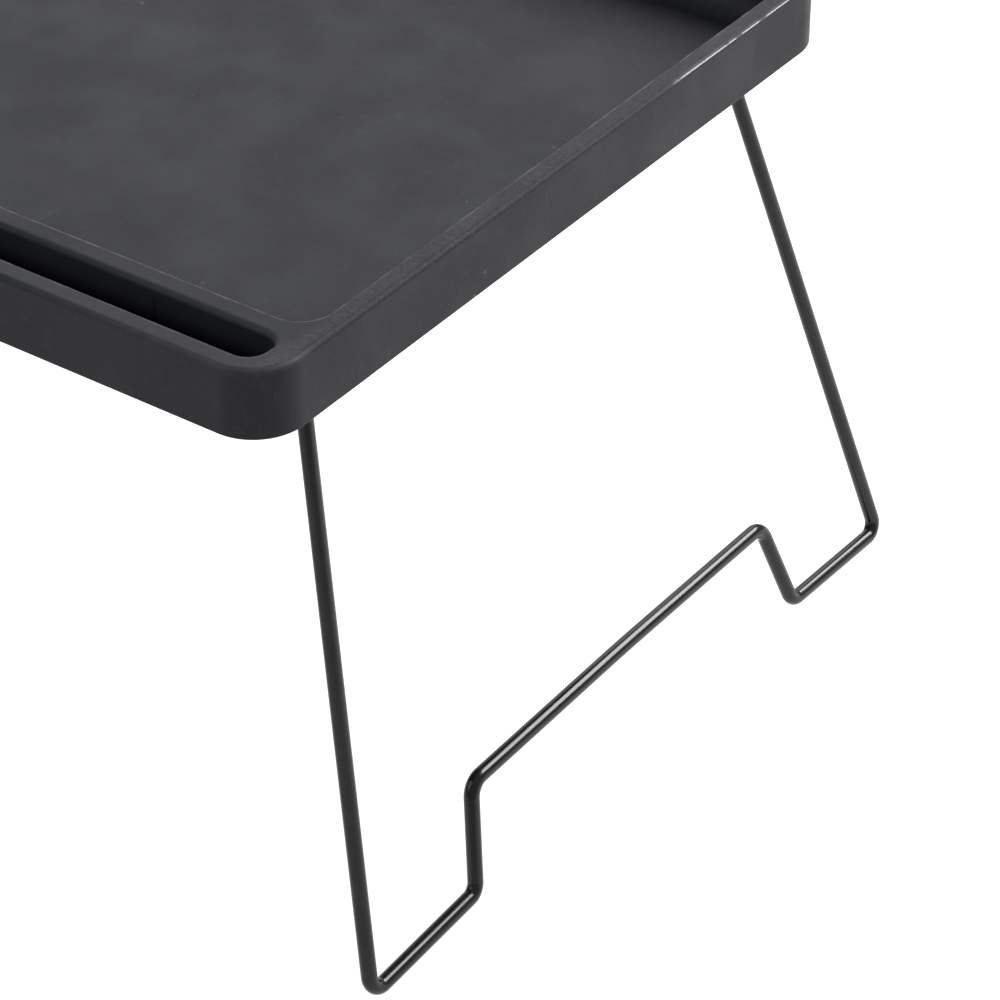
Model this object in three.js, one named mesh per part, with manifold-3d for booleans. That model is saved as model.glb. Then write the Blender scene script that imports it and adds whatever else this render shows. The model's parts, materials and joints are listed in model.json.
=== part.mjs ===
// Folding side table: a moulded tray carried by two bent-wire leg frames that fold flat beneath it.
//
// Millimetres, +Z up. The origin is on the floor under the middle of the tray. +X points to the
// right-hand leg frame and +Y to the back rim; the device slot runs along the front.

import * as THREE from 'three';
import { mergeVertices } from 'three/addons/utils/BufferGeometryUtils.js';
import Module from 'manifold-3d';

const wasm = await Module();
wasm.setup();

// ---------------------------------------------------------------- driving dimensions

const TRAY_LENGTH = 560;
const TRAY_WIDTH = 360;
const TRAY_TOP = 259.5;
const TRAY_HEIGHT = 28.6;
const TRAY_CORNER = 21;
const EDGE_ROUND = 1.5;
const WALL = 2.4;

const RIM_WIDTH = 8.4;
const FRONT_BAR = 35.2;
const RECESS_CORNER = 13.5;
const RECESS_COVE = 13;

const SLOT_FROM_FRONT = 8.7;
const SLOT_WIDTH = 16.9;
const SLOT_END_GAP = 11.3;

const WEB_THICKNESS = 1.8;
const WEB_SETBACK = 1;
const WEB_PITCH = 69;
const WEBS_EACH_SIDE_X = 3;
const WEBS_EACH_SIDE_Y = 1;

const WIRE_RADIUS = 3.1;
const SPLAY = THREE.MathUtils.degToRad(13.94);
const PIVOT_X = 261.2;
const PIVOT_Z = 225.4;
const SHOULDER_Y = 136.6;
const PIN_END_Y = 109.5;
const FOOT_CORNER_Y = 178.05;
const FOOT_CORNER_Z = 2.82;
const FOOT_INNER_Y = 111.8;
const FOOT_INNER_LIFT = 2.6;
const BAR_CORNER_Y = 100.5;
const BAR_Z = 46;
const BAR_BOW = 1;
const PIN_BEND = 6;
const FOOT_BEND = 6;
const BAR_BEND = 8;
const BOW_BEND = 1500;

const GAP = 0.3;
const BUSH_WALL = 0.9;
const BUSH_FLANGE_RADIUS = 5.1;
const BUSH_FLANGE = 1;
const SADDLE_INNER_Y = 111.5;
const SADDLE_OUTER_Y = 129.5;
const SADDLE_HALF_LENGTH = 10.8;
const CAP_EAR = 2.6;
const CAP_NOSE = 6.5;
const CAP_SCREW_OFFSET = 7.6;

const STOP_THICKNESS = 3.6;
const STOP_BOTTOM = 220;
const STOP_INNER_Y = 132;
const STOP_OUTER_Y = 142;

const SCREW_RADIUS = 1.4;
const SCREW_HEAD_RADIUS = 2.5;
const SCREW_HEAD_HEIGHT = 1.5;
const SCREW_POINT = 1.2;
const DRIVE_REACH = 1.4;
const DRIVE_HALF_WIDTH = 0.35;
const DRIVE_DEPTH = 0.8;
const HINGE_SCREW_LENGTH = 8.8;
const CLIP_SCREW_LENGTH = 7.6;

const FOLDED_DROOP = THREE.MathUtils.degToRad(0.6);
const CLIP_WIDTH = 16;
const CLIP_JAW = 2.4;
const CLIP_SLACK = 0.4;
const CLIP_TAB_REACH = 17;
const CLIP_TAB_THICKNESS = 2.4;
const CLIP_SCREW_OFFSET = 12.5;
const CLIP_BOSS_HEIGHT = 3.8;
const CLIP_SHOULDER = 2;
const CLIP_ROOF_GAP = 0.2;
const JAW_LEAD_IN = 1.4;
const JAW_TIP_WIDTH = 1.3;
const JAW_TIP_CHAMFER = 0.7;

// ---------------------------------------------------------------- sizes that follow from them

const TRAY_BOTTOM = TRAY_TOP - TRAY_HEIGHT;
const FLOOR_TOP = TRAY_BOTTOM + WALL;
const HALF_LENGTH = TRAY_LENGTH / 2;
const HALF_WIDTH = TRAY_WIDTH / 2;

const SLOT_CENTRE_Y = -HALF_WIDTH + SLOT_FROM_FRONT + SLOT_WIDTH / 2;
const SLOT_HALF_LENGTH = HALF_LENGTH - SLOT_END_GAP;

const SADDLE_BORE = WIRE_RADIUS + BUSH_WALL + 2 * GAP;
const CAP_TOP = PIVOT_Z - GAP;
const CAP_EAR_BOTTOM = CAP_TOP - CAP_EAR;

const BAR_DEPTH = (PIVOT_Z - BAR_Z) / Math.cos(SPLAY);
const FOOT_DEPTH = (PIVOT_Z - FOOT_CORNER_Z) / Math.cos(SPLAY);
const STOWED_BAR_X = PIVOT_X - (BAR_DEPTH - BAR_BOW) * Math.cos(FOLDED_DROOP);
const STOWED_BAR_Z = PIVOT_Z - (BAR_DEPTH - BAR_BOW) * Math.sin(FOLDED_DROOP);
const CLIP_BOSS_BOTTOM = TRAY_BOTTOM - CLIP_BOSS_HEIGHT;

// three.js cuts an arc into twice its curveSegments.
const CORNER_SEGMENTS = 3;
const SEAT_SEGMENTS = 5;
const WIRE_SEGMENTS = 6;
const BEND_STEPS = 6;
const COVE_STEPS = 6;
const EDGE_STEPS = 2;
const HOLE_SIDES = 16;
const SCREW_SIDES = 12;

// How far a cut runs past the face it starts from, and the distance within which vertices are one.
const CUT_PAST = 1;
const WELD_DISTANCE = 1e-4;

// What is left flat between the quarter arcs at a slot's round end.
const ARC_SPACING = 0.01;

const QUADRANTS = [
  { name: 'front_right', sx: 1, sy: -1 },
  { name: 'back_right', sx: 1, sy: 1 },
  { name: 'front_left', sx: -1, sy: -1 },
  { name: 'back_left', sx: -1, sy: 1 },
];

const SIDES = [
  { name: 'right', sx: 1 },
  { name: 'left', sx: -1 },
];

// ---------------------------------------------------------------- materials

const TRAY_PLASTIC = { color: 0x3b3d41, roughness: 0.5, metalness: 0 };
const CAP_PLASTIC = { color: 0x242527, roughness: 0.55, metalness: 0 };
const BUSH_PLASTIC = { color: 0xd8d6cd, roughness: 0.45, metalness: 0 };
const WIRE_COATING = { color: 0x1b1b1d, roughness: 0.35, metalness: 0.1 };
const PLATED_STEEL = { color: 0xa9adb0, roughness: 0.35, metalness: 0.9 };

// ---------------------------------------------------------------- solids and meshes

// Closed, indexed geometry with nothing but positions, so that neighbouring faces share their vertices.
function welded(geometry) {
  const bare = geometry.clone();
  bare.deleteAttribute('normal');
  bare.deleteAttribute('uv');
  return mergeVertices(bare, WELD_DISTANCE);
}

function solid(geometry) {
  const shape = welded(geometry);
  return new wasm.Manifold(new wasm.Mesh({
    numProp: 3,
    vertProperties: new Float32Array(shape.attributes.position.array),
    triVerts: new Uint32Array(shape.index.array),
  }));
}

function geometryOf(body) {
  const { vertProperties, triVerts } = body.getMesh();
  const geometry = new THREE.BufferGeometry();
  geometry.setAttribute('position', new THREE.BufferAttribute(vertProperties, 3));
  geometry.setIndex(new THREE.BufferAttribute(triVerts, 1));
  return geometry;
}

// The same shape in another quadrant. A single reflection turns the faces inside out, so they are
// turned back.
function reflected(geometry, sx, sy) {
  const copy = welded(geometry);
  copy.scale(sx, sy, 1);
  if (sx * sy < 0) {
    const index = copy.index.array;
    for (let i = 0; i < index.length; i += 3) {
      [index[i + 1], index[i + 2]] = [index[i + 2], index[i + 1]];
    }
  }
  return copy;
}

function mesh(name, geometry, finish) {
  const material = new THREE.MeshStandardMaterial({ ...finish, flatShading: true });
  const part = new THREE.Mesh(geometry, material);
  part.name = name;
  return part;
}

// ---------------------------------------------------------------- basic shapes

function roundedRectangle(x0, x1, y0, y1, radius) {
  const shape = new THREE.Shape();
  shape.moveTo(x1, y1 - radius);
  shape.absarc(x1 - radius, y1 - radius, radius, 0, Math.PI / 2);
  shape.absarc(x0 + radius, y1 - radius, radius, Math.PI / 2, Math.PI);
  shape.absarc(x0 + radius, y0 + radius, radius, Math.PI, Math.PI * 1.5);
  shape.absarc(x1 - radius, y0 + radius, radius, Math.PI * 1.5, Math.PI * 2);
  return shape;
}

function prism(shape, z0, z1) {
  const geometry = new THREE.ExtrudeGeometry(shape, {
    depth: z1 - z0,
    bevelEnabled: false,
    curveSegments: CORNER_SEGMENTS,
  });
  return geometry.translate(0, 0, z0);
}

// A prism whose top and bottom edges are rounded, inside its own outline and height.
function roundedPrism(shape, z0, z1, round, steps) {
  const geometry = new THREE.ExtrudeGeometry(shape, {
    depth: z1 - z0 - 2 * round,
    bevelThickness: round,
    bevelSize: round,
    bevelOffset: -round,
    bevelSegments: steps,
    curveSegments: CORNER_SEGMENTS,
  });
  return geometry.translate(0, 0, z0 + round);
}

function block(x0, x1, y0, y1, z0, z1) {
  const geometry = new THREE.BoxGeometry(x1 - x0, y1 - y0, z1 - z0);
  return geometry.translate((x0 + x1) / 2, (y0 + y1) / 2, (z0 + z1) / 2);
}

// A profile drawn in X and Z, with its thickness along Y.
function profileAlongY(shape, y0, y1) {
  const geometry = new THREE.ExtrudeGeometry(shape, {
    depth: y1 - y0,
    bevelEnabled: false,
    curveSegments: SEAT_SEGMENTS,
  });
  return geometry.rotateX(Math.PI / 2).translate(0, y1, 0);
}

function rodAlongY(x, z, radius, y0, y1) {
  const geometry = new THREE.CylinderGeometry(radius, radius, y1 - y0, HOLE_SIDES);
  return geometry.translate(x, (y0 + y1) / 2, z);
}

function rodAlongZ(x, y, radius, z0, z1) {
  const geometry = new THREE.CylinderGeometry(radius, radius, z1 - z0, SCREW_SIDES);
  return geometry.rotateX(Math.PI / 2).translate(x, y, (z0 + z1) / 2);
}

function outline(points) {
  return new THREE.Shape(points.map(([x, y]) => new THREE.Vector2(x, y)));
}

// ---------------------------------------------------------------- tray

// The dished space inside the rim. Grown by the wall, it is the shell's hidden side.
function recess(grow) {
  const shape = roundedRectangle(
    -HALF_LENGTH + RIM_WIDTH - grow,
    HALF_LENGTH - RIM_WIDTH + grow,
    -HALF_WIDTH + FRONT_BAR - grow,
    HALF_WIDTH - RIM_WIDTH + grow,
    RECESS_CORNER + grow,
  );
  const cove = RECESS_COVE + grow;
  return solid(roundedPrism(shape, FLOOR_TOP - grow, TRAY_TOP + 2 * cove, cove, COVE_STEPS));
}

// The long slot in the front bar that holds a phone or tablet upright.
function slot(grow) {
  const half = SLOT_WIDTH / 2 + grow;
  const shape = roundedRectangle(
    -SLOT_HALF_LENGTH - grow,
    SLOT_HALF_LENGTH + grow,
    SLOT_CENTRE_Y - half,
    SLOT_CENTRE_Y + half,
    half - ARC_SPACING,
  );
  return solid(prism(shape, FLOOR_TOP - grow, TRAY_TOP + CUT_PAST));
}

// The space under the rim and front bar, open below, between the skirt and the recess and slot walls.
function underRim() {
  const shape = roundedRectangle(
    -HALF_LENGTH + WALL,
    HALF_LENGTH - WALL,
    -HALF_WIDTH + WALL,
    HALF_WIDTH - WALL,
    TRAY_CORNER - WALL,
  );
  const channel = solid(prism(shape, TRAY_BOTTOM - CUT_PAST, TRAY_TOP - WALL));
  return channel.subtract(recess(WALL)).subtract(slot(WALL));
}

// Thin webs that tie the skirt to the recess wall all round.
function webs() {
  const low = TRAY_BOTTOM + WEB_SETBACK;
  const high = TRAY_TOP - WALL / 2;
  const half = WEB_THICKNESS / 2;
  const inset = WALL / 2;
  const reach = RIM_WIDTH + RECESS_COVE;
  const frontReach = FRONT_BAR + RECESS_COVE;
  const found = [];
  for (let i = -WEBS_EACH_SIDE_X; i <= WEBS_EACH_SIDE_X; i += 1) {
    const x = i * WEB_PITCH;
    found.push(block(x - half, x + half, -HALF_WIDTH + inset, -HALF_WIDTH + frontReach, low, high));
    found.push(block(x - half, x + half, HALF_WIDTH - reach, HALF_WIDTH - inset, low, high));
  }
  for (let j = -WEBS_EACH_SIDE_Y; j <= WEBS_EACH_SIDE_Y; j += 1) {
    const y = j * WEB_PITCH;
    found.push(block(HALF_LENGTH - reach, HALF_LENGTH - inset, y - half, y + half, low, high));
    found.push(block(-HALF_LENGTH + inset, -HALF_LENGTH + reach, y - half, y + half, low, high));
  }
  return found.map(solid);
}

// The upper half of one hinge: a block under the tray with a half-round seat for the bush.
function saddle() {
  return block(
    PIVOT_X - SADDLE_HALF_LENGTH,
    PIVOT_X + SADDLE_HALF_LENGTH,
    SADDLE_INNER_Y,
    SADDLE_OUTER_Y,
    PIVOT_Z,
    TRAY_BOTTOM + RECESS_COVE,
  );
}

// The sloping block that the splayed wire leans against when the leg is open.
function legStop() {
  const faceAt = (z) => PIVOT_X + (PIVOT_Z - z) * Math.tan(SPLAY) + (WIRE_RADIUS + GAP) / Math.cos(SPLAY);
  const top = TRAY_BOTTOM + RECESS_COVE;
  return profileAlongY(outline([
    [faceAt(STOP_BOTTOM), STOP_BOTTOM],
    [faceAt(STOP_BOTTOM) + STOP_THICKNESS, STOP_BOTTOM],
    [faceAt(top) + STOP_THICKNESS, top],
    [faceAt(top), top],
  ]), STOP_INNER_Y, STOP_OUTER_Y);
}

function clipBoss() {
  const x0 = STOWED_BAR_X + WIRE_RADIUS + CLIP_SLACK + CLIP_JAW + CLIP_SHOULDER + GAP;
  const x1 = STOWED_BAR_X + CLIP_TAB_REACH;
  return block(x0, x1, -CLIP_WIDTH / 2, CLIP_WIDTH / 2, CLIP_BOSS_BOTTOM, TRAY_BOTTOM + WALL / 2);
}

function makeTray() {
  const body = roundedRectangle(-HALF_LENGTH, HALF_LENGTH, -HALF_WIDTH, HALF_WIDTH, TRAY_CORNER);
  let shell = solid(roundedPrism(body, TRAY_BOTTOM, TRAY_TOP, EDGE_ROUND, EDGE_STEPS)).subtract(underRim());
  for (const web of webs()) {
    shell = shell.add(web);
  }
  for (const { sx, sy } of QUADRANTS) {
    shell = shell.add(solid(reflected(saddle(), sx, sy))).add(solid(reflected(legStop(), sx, sy)));
  }
  for (const { sx } of SIDES) {
    shell = shell.add(solid(reflected(clipBoss(), sx, 1)));
  }
  shell = shell.subtract(recess(0)).subtract(slot(0));

  const seat = rodAlongY(PIVOT_X, PIVOT_Z, SADDLE_BORE, SADDLE_INNER_Y - CUT_PAST, SADDLE_OUTER_Y + CUT_PAST);
  const pilot = SCREW_RADIUS + GAP;
  for (const { sx, sy } of QUADRANTS) {
    shell = shell.subtract(solid(reflected(seat, sx, sy)));
    for (const screw of hingeScrewPlaces()) {
      const top = CAP_EAR_BOTTOM + HINGE_SCREW_LENGTH + GAP;
      shell = shell.subtract(solid(rodAlongZ(sx * screw.x, sy * screw.y, pilot, PIVOT_Z - CUT_PAST, top)));
    }
  }
  for (const { sx } of SIDES) {
    const x = sx * (STOWED_BAR_X + CLIP_SCREW_OFFSET);
    const top = clipTabBottom() + CLIP_SCREW_LENGTH + GAP;
    shell = shell.subtract(solid(rodAlongZ(x, 0, pilot, CLIP_BOSS_BOTTOM - CUT_PAST, top)));
  }
  return mesh('tray', geometryOf(shell), TRAY_PLASTIC);
}

// ---------------------------------------------------------------- leg frames

// A flat path of straight runs joined by round bends, sampled at the ends of each run and along each bend.
class BentWire extends THREE.Curve {
  constructor(corners) {
    super();
    this.knots = [];
    corners.forEach(({ at, bend }, i) => {
      if (!bend) {
        const next = i === 0 ? corners[1].at : at;
        const previous = i === 0 ? at : corners[i - 1].at;
        this.knots.push({ point: at, tangent: next.clone().sub(previous).normalize() });
        return;
      }
      this.addBend(corners[i - 1].at, at, corners[i + 1].at, bend);
    });
  }

  addBend(before, corner, after, radius) {
    const inward = corner.clone().sub(before).normalize();
    const outward = after.clone().sub(corner).normalize();
    const turn = inward.angleTo(outward);
    const setback = radius * Math.tan(turn / 2);
    const start = corner.clone().addScaledVector(inward, -setback);
    const side = outward.clone().addScaledVector(inward, -inward.dot(outward)).normalize();
    const steps = Math.max(2, Math.ceil(BEND_STEPS * turn / (Math.PI / 2)));
    for (let k = 0; k <= steps; k += 1) {
      const angle = turn * k / steps;
      const point = start.clone()
        .addScaledVector(inward, radius * Math.sin(angle))
        .addScaledVector(side, radius * (1 - Math.cos(angle)));
      const tangent = inward.clone().multiplyScalar(Math.cos(angle)).addScaledVector(side, Math.sin(angle));
      this.knots.push({ point, tangent });
    }
  }

  get steps() {
    return this.knots.length - 1;
  }

  knotAt(u) {
    return this.knots[Math.round(u * this.steps)];
  }

  getPoint(u, target = new THREE.Vector3()) {
    return target.copy(this.knotAt(u).point);
  }

  getPointAt(u, target) {
    return this.getPoint(u, target);
  }

  getTangentAt(u, target = new THREE.Vector3()) {
    return target.copy(this.knotAt(u).tangent);
  }
}

// The frame's centre line in its own plane, from the pivot line down: one end's pin, its long side, its foot,
// the riser, the raised bar, and the same again in reverse.
function legPath() {
  const half = [
    { y: PIN_END_Y, depth: 0, bend: 0 },
    { y: SHOULDER_Y, depth: 0, bend: PIN_BEND },
    { y: FOOT_CORNER_Y, depth: FOOT_DEPTH, bend: FOOT_BEND },
    { y: FOOT_INNER_Y, depth: FOOT_DEPTH - FOOT_INNER_LIFT, bend: FOOT_BEND },
    { y: BAR_CORNER_Y, depth: BAR_DEPTH, bend: BAR_BEND },
  ];
  const corner = ({ y, depth, bend }, side) => ({ at: new THREE.Vector3(0, side * y, -depth), bend });
  return new BentWire([
    ...half.map((c) => corner(c, -1)),
    { at: new THREE.Vector3(0, 0, -(BAR_DEPTH - BAR_BOW)), bend: BOW_BEND },
    ...half.toReversed().map((c) => corner(c, 1)),
  ]);
}

function makeLegFrame({ name, sx }) {
  const wire = new THREE.Shape();
  const half = Math.PI / (2 * WIRE_SEGMENTS);
  wire.absarc(0, 0, WIRE_RADIUS, half, half + Math.PI * 2);
  const path = legPath();
  const geometry = new THREE.ExtrudeGeometry(wire, {
    extrudePath: path,
    steps: path.steps,
    curveSegments: WIRE_SEGMENTS,
  });
  const frame = mesh(`leg_frame_${name}`, geometry, WIRE_COATING);
  frame.rotation.y = -SPLAY;
  const side = new THREE.Group();
  side.position.set(sx * PIVOT_X, 0, PIVOT_Z);
  side.rotation.z = sx > 0 ? 0 : Math.PI;
  side.add(frame);
  return side;
}

// ---------------------------------------------------------------- hinges

function hingeScrewPlaces() {
  const y = (SADDLE_INNER_Y + SADDLE_OUTER_Y) / 2;
  return [
    { name: 'inner', x: PIVOT_X - CAP_SCREW_OFFSET, y },
    { name: 'outer', x: PIVOT_X + CAP_SCREW_OFFSET, y },
  ];
}

// The strap that closes a hinge from below: two ears and a round nose under the bush.
function capProfile() {
  const dip = Math.asin(GAP / SADDLE_BORE);
  const flank = Math.asin((GAP + CAP_EAR) / CAP_NOSE);
  const shape = new THREE.Shape();
  shape.moveTo(PIVOT_X - SADDLE_HALF_LENGTH, CAP_TOP);
  shape.lineTo(PIVOT_X - SADDLE_HALF_LENGTH, CAP_EAR_BOTTOM);
  shape.absarc(PIVOT_X, PIVOT_Z, CAP_NOSE, Math.PI + flank, 2 * Math.PI - flank);
  shape.lineTo(PIVOT_X + SADDLE_HALF_LENGTH, CAP_EAR_BOTTOM);
  shape.lineTo(PIVOT_X + SADDLE_HALF_LENGTH, CAP_TOP);
  shape.absarc(PIVOT_X, PIVOT_Z, SADDLE_BORE, 2 * Math.PI - dip, Math.PI + dip, true);
  return shape;
}

// A screw standing on its head at z = 0: countersunk head, shank and point.
function screwGeometry(length, grow) {
  const radius = SCREW_RADIUS + grow;
  const head = SCREW_HEAD_RADIUS + grow;
  const points = [
    [0, -grow],
    [head, -grow],
    [radius, SCREW_HEAD_HEIGHT],
    [radius, length - SCREW_POINT],
    [0, length],
  ];
  const profile = points.map(([r, z]) => new THREE.Vector2(r, z));
  return new THREE.LatheGeometry(profile, SCREW_SIDES).rotateX(Math.PI / 2);
}

function makeScrew(name, x, y, z, length) {
  const geometry = geometryOf(solid(screwGeometry(length, 0)).subtract(solid(driveRecess())));
  const screw = mesh(name, geometry, PLATED_STEEL);
  screw.position.set(x, y, z);
  return screw;
}

// The cross-shaped drive recess in a screw's head.
function driveRecess() {
  const reach = DRIVE_REACH;
  const half = DRIVE_HALF_WIDTH;
  return prism(outline([
    [half, -reach], [half, -half], [reach, -half], [reach, half],
    [half, half], [half, reach], [-half, reach], [-half, half],
    [-reach, half], [-reach, -half], [-half, -half], [-half, -reach],
  ]), -CUT_PAST, DRIVE_DEPTH);
}

function makeHingeCap({ name, sx, sy }) {
  let cap = solid(profileAlongY(capProfile(), SADDLE_INNER_Y, SADDLE_OUTER_Y));
  for (const screw of hingeScrewPlaces()) {
    const hole = screwGeometry(HINGE_SCREW_LENGTH, GAP).translate(screw.x, screw.y, CAP_EAR_BOTTOM);
    cap = cap.subtract(solid(hole));
  }
  return mesh(`hinge_cap_${name}`, reflected(geometryOf(cap), sx, sy), CAP_PLASTIC);
}

// The flanged sleeve that the wire's pin turns in.
function makeBush({ name, sx, sy }) {
  const bore = WIRE_RADIUS + GAP;
  const outer = bore + BUSH_WALL;
  const points = [
    [bore, SADDLE_INNER_Y],
    [outer, SADDLE_INNER_Y],
    [outer, SADDLE_OUTER_Y + GAP],
    [BUSH_FLANGE_RADIUS, SADDLE_OUTER_Y + GAP],
    [BUSH_FLANGE_RADIUS, SADDLE_OUTER_Y + GAP + BUSH_FLANGE],
    [bore, SADDLE_OUTER_Y + GAP + BUSH_FLANGE],
    [bore, SADDLE_INNER_Y],
  ];
  const profile = points.map(([r, y]) => new THREE.Vector2(r, y));
  const sleeve = new THREE.LatheGeometry(profile, HOLE_SIDES).translate(PIVOT_X, 0, PIVOT_Z);
  return mesh(`pivot_bush_${name}`, reflected(sleeve, sx, sy), BUSH_PLASTIC);
}

function makeHinge(quadrant) {
  const { name, sx, sy } = quadrant;
  const hinge = new THREE.Group();
  hinge.add(makeHingeCap(quadrant), makeBush(quadrant));
  for (const screw of hingeScrewPlaces()) {
    const label = `hinge_screw_${name}_${screw.name}`;
    hinge.add(makeScrew(label, sx * screw.x, sy * screw.y, CAP_EAR_BOTTOM, HINGE_SCREW_LENGTH));
  }
  return hinge;
}

// ---------------------------------------------------------------- storage clips

function clipTabBottom() {
  return CLIP_BOSS_BOTTOM - GAP - CLIP_TAB_THICKNESS;
}

// Two jaws that the raised bar of a folded leg presses up between, and a tab for the screw.
function clipProfile() {
  const inner = WIRE_RADIUS + CLIP_SLACK;
  const outer = inner + CLIP_JAW;
  const shoulder = outer + CLIP_SHOULDER;
  const top = TRAY_BOTTOM - CLIP_ROOF_GAP;
  const roof = STOWED_BAR_Z + WIRE_RADIUS + 2 * CLIP_SLACK;
  const tip = STOWED_BAR_Z - WIRE_RADIUS - CLIP_SLACK;
  const tabTop = CLIP_BOSS_BOTTOM - GAP;
  const points = [
    [-outer, top],
    [-outer, tip + JAW_TIP_CHAMFER],
    [-inner - JAW_TIP_WIDTH, tip],
    [-inner, tip + JAW_LEAD_IN],
    [-inner, roof],
    [inner, roof],
    [inner, tip + JAW_LEAD_IN],
    [inner + JAW_TIP_WIDTH, tip],
    [outer, tip + JAW_TIP_CHAMFER],
    [outer, clipTabBottom()],
    [CLIP_TAB_REACH, clipTabBottom()],
    [CLIP_TAB_REACH, tabTop],
    [shoulder, tabTop],
    [shoulder, top],
  ];
  return outline(points.map(([x, z]) => [STOWED_BAR_X + x, z]));
}

function makeStorageClip({ name, sx }) {
  const screwX = STOWED_BAR_X + CLIP_SCREW_OFFSET;
  const body = solid(profileAlongY(clipProfile(), -CLIP_WIDTH / 2, CLIP_WIDTH / 2));
  const hole = screwGeometry(CLIP_SCREW_LENGTH, GAP).translate(screwX, 0, clipTabBottom());
  const clip = new THREE.Group();
  const geometry = reflected(geometryOf(body.subtract(solid(hole))), sx, 1);
  clip.add(mesh(`storage_clip_${name}`, geometry, CAP_PLASTIC));
  clip.add(makeScrew(`clip_screw_${name}`, sx * screwX, 0, clipTabBottom(), CLIP_SCREW_LENGTH));
  return clip;
}

// ---------------------------------------------------------------- assembly

const table = new THREE.Group();
table.add(makeTray());
table.add(...SIDES.map(makeLegFrame));
table.add(...QUADRANTS.map(makeHinge));
table.add(...SIDES.map(makeStorageClip));

export default table;
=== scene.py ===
"""Looks of the folding tray table: fine surfaces, finishes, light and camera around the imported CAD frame."""

import json
import math

import bmesh
import bpy
from mathutils import Matrix, Vector
from mathutils.geometry import tessellate_polygon


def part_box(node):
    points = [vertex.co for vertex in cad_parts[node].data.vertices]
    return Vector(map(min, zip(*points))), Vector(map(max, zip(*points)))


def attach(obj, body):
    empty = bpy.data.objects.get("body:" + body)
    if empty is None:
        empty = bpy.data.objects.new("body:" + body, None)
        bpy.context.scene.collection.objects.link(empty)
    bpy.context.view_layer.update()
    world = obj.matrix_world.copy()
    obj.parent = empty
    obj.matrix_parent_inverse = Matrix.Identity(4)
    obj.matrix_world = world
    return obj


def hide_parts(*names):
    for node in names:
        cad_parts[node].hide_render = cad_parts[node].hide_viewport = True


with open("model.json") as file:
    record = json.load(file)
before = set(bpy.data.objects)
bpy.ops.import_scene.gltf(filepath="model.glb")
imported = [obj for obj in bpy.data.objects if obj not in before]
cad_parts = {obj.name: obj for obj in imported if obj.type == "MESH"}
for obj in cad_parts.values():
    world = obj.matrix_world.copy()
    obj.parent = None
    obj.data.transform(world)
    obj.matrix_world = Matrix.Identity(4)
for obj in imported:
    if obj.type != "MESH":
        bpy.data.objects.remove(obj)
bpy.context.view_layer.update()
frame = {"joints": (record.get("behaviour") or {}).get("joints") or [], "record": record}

MM = 0.001

# ---------------------------------------------------------------- sizes, in millimetres

QUADRANTS = {"front_right": (1, -1), "back_right": (1, 1), "front_left": (-1, -1), "back_left": (-1, 1)}
SIDES = {"right": 1, "left": -1}

tray_low, tray_high = (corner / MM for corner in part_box("tray"))
mounts = {mount["name"]: Vector(mount["pos_m"]) / MM for mount in frame["record"]["mounts"]}
joints = {joint["child"]: joint for joint in frame["joints"]}

HALF_LENGTH = tray_high.x
HALF_WIDTH = tray_high.y
TRAY_TOP = tray_high.z
FLOOR_TOP = mounts["tray_surface"].z
WALL = 2.4
TRAY_BOTTOM = FLOOR_TOP - WALL
CHANNEL_TOP = TRAY_TOP - WALL

TRAY_CORNER = 21.0
TOP_ROUND_FRONT = 2.4
TOP_ROUND_BACK = 1.2
BOTTOM_ROUND = 0.9
RIM_WIDTH = 8.4
FRONT_BAR = 35.2
RECESS_CORNER = 13.5
RECESS_LEAST_CORNER = 1.5
RECESS_COVE = 12.5
RECESS_EDGE = 0.45
RECESS_DRAFT = 2.2
RECESS_SLOPE = math.atan2(RECESS_DRAFT, TRAY_TOP - FLOOR_TOP)
# Width of the pale line along a crisp edge, partly rubbing and partly a painted highlight, and where that line
# starts on the outer edge.
EDGE_LINE_WIDTH = 0.7
EDGE_LINE_FROM_Y = -HALF_WIDTH + TRAY_CORNER - 0.5

SLOT_CENTRE_Y = mounts["slot_floor"].y
SLOT_HALF_WIDTH = 8.45
SLOT_END_GAP = 11.3
SLOT_HALF_LENGTH = HALF_LENGTH - SLOT_END_GAP
SLOT_EDGE = 0.35
SLOT_BACK_ROUND = 2.6
# The slot's edge goes from crisp to round between these values of its outward direction along Y.
SLOT_ROUND_CHANGE = (0.1, 0.6)
SLOT_FLOOR_ROUND = 1.5
SLOT_SEAM_X = 211.3
SLOT_SEAM_WIDTH = 1.6
SLOT_SEAM_DEPTH = 0.45
# How far below the rim each seam starts, and how far above and below that its end slopes.
SLOT_SEAM_TOP = 4.5
SLOT_SEAM_FADE = 0.3
SLOT_LINE_TO_Y = SLOT_CENTRE_Y + 4.0

WEB_THICKNESS = 1.8
WEB_PITCH = 69.0
WEBS_EACH_SIDE_X = 3
WEBS_EACH_SIDE_Y = 1
WEB_SETBACK = 1.0

WIRE_RADIUS = 3.1
SPLAY = math.radians(13.94)
PIVOT_X = joints["right_leg"]["pos_m"][0] / MM
PIVOT_Z = joints["right_leg"]["pos_m"][2] / MM
SHOULDER_Y = 136.6
PIN_END_Y = 109.5
FOOT_CORNER_Y = 178.05
FOOT_CORNER_Z = 2.82
FOOT_DEPTH = (PIVOT_Z - FOOT_CORNER_Z) / math.cos(SPLAY)
FOOT_INNER_Y = 111.8
FOOT_INNER_LIFT = 2.6
BAR_CORNER_Y = 100.5
BAR_Z = 46.0
BAR_DEPTH = (PIVOT_Z - BAR_Z) / math.cos(SPLAY)
BAR_BOW = 1.0
PIN_BEND = 6.0
FOOT_BEND = 6.0
BAR_BEND = 8.0
BOW_BEND = 1500.0
PIN_CHAMFER = 0.6

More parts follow.
